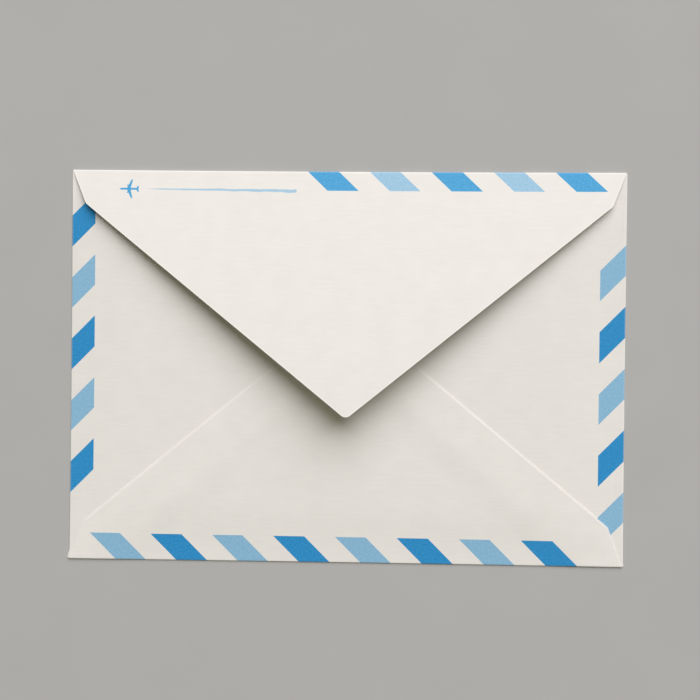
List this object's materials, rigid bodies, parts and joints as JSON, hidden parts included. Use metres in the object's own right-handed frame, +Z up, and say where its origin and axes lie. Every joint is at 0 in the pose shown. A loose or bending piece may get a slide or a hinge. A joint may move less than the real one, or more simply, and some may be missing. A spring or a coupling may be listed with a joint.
{
  "type": "paper envelope",
  "caption": "Folded paper envelope with four pointed flaps, a striped border and its top flap standing slightly open.",
  "frame": {"origin": "centre of the front panel's outer face, on which the envelope lies, at the middle of its box", "axes": "+X along the envelope's length, to the right seen from above with the top fold away from the viewer; +Y towards the top fold; +Z up, out of the flap side"},
  "size_m": [0.162, 0.114, 0.0112],
  "materials": {
    "paper": "matte"
  },
  "bodies": {
    "root": {"envelope": "paper"}
  },
  "joints": []
}
